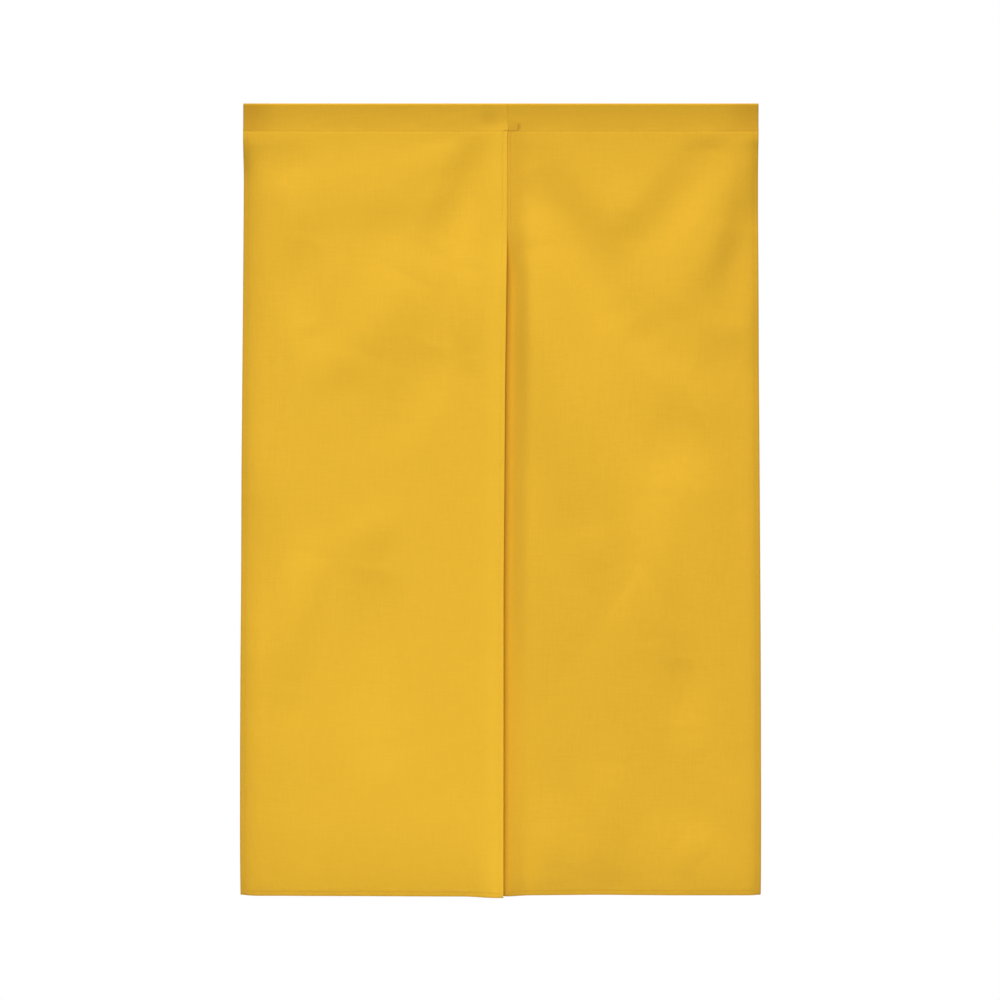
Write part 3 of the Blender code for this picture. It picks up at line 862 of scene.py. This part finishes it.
def stitch_row(line, outward):
    """Points of all stitches along a line.

    outward is -1 for the front of the cloth and 1 for its back.
    """
    line = np.array(line)
    steps = np.linalg.norm(np.diff(line, axis=0), axis=1)
    reach = np.concatenate([[0], np.cumsum(steps)])
    count = int(reach[-1] // STITCH_PITCH)
    middles = (np.arange(count) + 0.5) * reach[-1] / count

    def on_line(distance):
        return np.stack([np.interp(distance, reach, line[:, k]) for k in range(3)], axis=-1)

    along = on_line(middles + 1 * MM) - on_line(middles - 1 * MM)
    along /= np.linalg.norm(along, axis=1)[:, None]
    out = np.tile([0.0, float(outward), 0.0], (count, 1))
    beside = np.cross(out, along)
    slanted = along + STITCH_SLANT * beside
    lengthwise, sideways, outwards = (SPINDLE_POINTS[None, :, k : k + 1] for k in range(3))
    made = on_line(middles)[:, None, :] + lengthwise * STITCH_LENGTH * slanted[:, None, :]
    made = made + sideways * THREAD_RADIUS * beside[:, None, :]
    made = made + (outwards * THREAD_RADIUS + THREAD_LIFT) * out[:, None, :]
    return made.reshape(-1, 3)


def sewn_line(sheet, share, z_from, z_to, back):
    """A hem's stitch line up a side of the panel, on its front or its back."""
    z = np.linspace(z_from, z_to, SIDE_LINE_POINTS)
    low, high = sheet.panel.edges(z)
    x = low + STITCH_INSET if share == 0 else high - STITCH_INSET
    y = sheet.panel.face(x, z) + STITCH_PINCH
    return list(zip(x, y + (LAYER + CLOTH - STITCH_PINCH if back else 0), z))


def foot_line(sheet, back):
    z = np.full(LEVEL_LINE_POINTS, -HEIGHT + STITCH_INSET)
    low, high = sheet.panel.edges(z)
    x = np.linspace(low[0] + FOOT_LINE_INSET, high[0] - FOOT_LINE_INSET, LEVEL_LINE_POINTS)
    y = sheet.panel.face(x, z) + STITCH_PINCH
    over = 1 - smooth((np.minimum(x - low, high - x) - HEM_WIDTH) / HEM_BLEND)
    behind = LAYER * (1 + 2 * over) + CLOTH - STITCH_PINCH
    return list(zip(x, y + (behind if back else 0), z))


def pocket_line(sheet, back):
    z = np.full(LEVEL_LINE_POINTS, -POCKET_DEPTH)
    low, high = sheet.panel.edges(z)
    x = np.linspace(low[0] + POCKET_LINE_INSET, high[0] - POCKET_LINE_INSET, LEVEL_LINE_POINTS)
    y = sheet.panel.face(x, z) + STITCH_PINCH
    if back:
        y, z = y + (POCKET_FOOT - 2 * STITCH_PINCH), z + BACK_LINE_RISE
    return list(zip(x, y, z))


def make_thread(name, sheet):
    """All of one panel's stitches, as one mesh."""
    top, foot = -POCKET_DEPTH - BELOW_POCKET, -HEIGHT + ABOVE_FOOT
    parts = []
    for back in (False, True):
        lines = [sewn_line(sheet, share, foot, top, back) for share in (0, 1)]
        lines += [foot_line(sheet, back), pocket_line(sheet, back)]
        parts += [stitch_row(line, 1 if back else -1) for line in lines]
    points = np.concatenate(parts)
    count = len(points) // len(SPINDLE_POINTS)
    faces = []
    for stitch in range(count):
        first = stitch * len(SPINDLE_POINTS)
        faces += [tuple(first + k for k in face) for face in SPINDLE_FACES]
    mesh = bpy.data.meshes.new(name)
    mesh.from_pydata(points.tolist(), [], faces)
    mesh.shade_smooth()
    mesh.materials.append(THREAD_FINISH)
    thread = bpy.data.objects.new(name, mesh)
    bpy.context.scene.collection.objects.link(thread)
    print(name, count, "stitches")
    return thread


thread_left = make_thread("thread_left", sheet_left)
thread_right = make_thread("thread_right", sheet_right)

# %% [markdown]
# ## Each piece rides on one body
# Both sheets and their thread ride on the one body.

# %% Rides
for cloth, thread, sheet in (
    (cloth_left, thread_left, sheet_left),
    (cloth_right, thread_right, sheet_right),
):
    for piece in (cloth, thread):
        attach(piece, "root")
    low, high = sheet.panel.edges(np.array(-HEIGHT))

# %% [markdown]
# ## A plain studio
# The picture is a product shot: even light from the front, a little higher and
# to the left, on white. Most of it is soft daylight that is equally strong from
# the top of the cloth to the foot, and a large softbox in the same direction
# adds a slight fall-off towards the foot. The white surroundings fill the
# shadows. A weaker lamp lights the back, which only the other views show. The
# floor is pale and far enough below to stay out of the camera's picture.

# %% Light, floor and camera
KEY_ELEVATION = 46
KEY_FROM_LEFT = 4
KEY_STRENGTH = 2.51
KEY_ANGLE = 50
BACK_ELEVATION = 35
BACK_TURN = 210
BACK_STRENGTH = 1.2
BACK_ANGLE = 40
SOFTBOX_WATTS = 462
SOFTBOX_SIZE = 9.0
SOFTBOX_DISTANCE = 11.0
FILL = 0.14
FLOOR_HALF = 1.3
FLOOR_Z = -2.6
FLOOR_COLOUR = "#F6F6F4"
PICTURE_WIDTH = 1.641
PICTURE_X = -0.0016
PICTURE_MIDDLE = -0.650
CAMERA_LENS = 100
SENSOR = 36


def distant_lamp(name, elevation, turn, strength, angle):
    lamp = bpy.data.objects.new(name, bpy.data.lights.new(name, "SUN"))
    lamp.data.energy = strength
    lamp.data.angle = math.radians(angle)
    lamp.rotation_euler = (math.radians(90 - elevation), 0, math.radians(turn))
    bpy.context.scene.collection.objects.link(lamp)
    return lamp


key = distant_lamp("front daylight", KEY_ELEVATION, -KEY_FROM_LEFT, KEY_STRENGTH, KEY_ANGLE)
distant_lamp("back daylight", BACK_ELEVATION, BACK_TURN, BACK_STRENGTH, BACK_ANGLE)

softbox = bpy.data.objects.new("front softbox", bpy.data.lights.new("front softbox", "AREA"))
softbox.data.shape = "DISK"
softbox.data.size = SOFTBOX_SIZE
softbox.data.energy = SOFTBOX_WATTS
softbox.rotation_euler = key.rotation_euler
towards_lamp = key.rotation_euler.to_matrix() @ Vector((0.0, 0.0, SOFTBOX_DISTANCE))
softbox.location = towards_lamp + Vector((0.0, 0.0, PICTURE_MIDDLE))
bpy.context.scene.collection.objects.link(softbox)

world = bpy.data.worlds.new("white studio")
world.use_nodes = True
tree = world.node_tree
tree.nodes.clear()
lighting = add(tree, "ShaderNodeBackground", {"Color": (1, 1, 1, 1), "Strength": FILL})
seen = add(tree, "ShaderNodeBackground", {"Color": (1, 1, 1, 1), "Strength": 1.0})
camera_ray = add(tree, "ShaderNodeLightPath").outputs["Is Camera Ray"]
sources = {0: camera_ray, 1: lighting.outputs[0], 2: seen.outputs[0]}
mixed = add(tree, "ShaderNodeMixShader", None, sources)
add(tree, "ShaderNodeOutputWorld", None, {"Surface": mixed.outputs[0]})
bpy.context.scene.world = world

floor_mesh = bpy.data.meshes.new("studio floor")
build = bmesh.new()
bmesh.ops.create_grid(build, x_segments=1, y_segments=1, size=FLOOR_HALF)
build.to_mesh(floor_mesh)
build.free()
floor = bpy.data.objects.new("studio_floor", floor_mesh)
floor.location = (0, 0, FLOOR_Z)
bpy.context.scene.collection.objects.link(floor)
paint, _, paint_shader = new_material("white studio paint")
paint_shader.inputs["Base Color"].default_value = linear(FLOOR_COLOUR)
paint_shader.inputs["Roughness"].default_value = 0.9
floor_mesh.materials.append(paint)

camera = bpy.data.objects.new("camera", bpy.data.cameras.new("camera"))
camera.data.lens = CAMERA_LENS
camera.data.sensor_width = SENSOR
camera.location = (PICTURE_X, -PICTURE_WIDTH * CAMERA_LENS / SENSOR, PICTURE_MIDDLE)
camera.rotation_euler = (math.radians(90), 0, 0)
bpy.context.scene.collection.objects.link(camera)
bpy.context.scene.camera = camera
bpy.context.scene.view_settings.view_transform = "Standard"
print("camera", [round(v, 3) for v in camera.location])

# %% [markdown]
# ## Finish
# Cloth may stand a little proud of the solids that it replaces, but no more.

# %% Finish
bpy.context.view_layer.update()
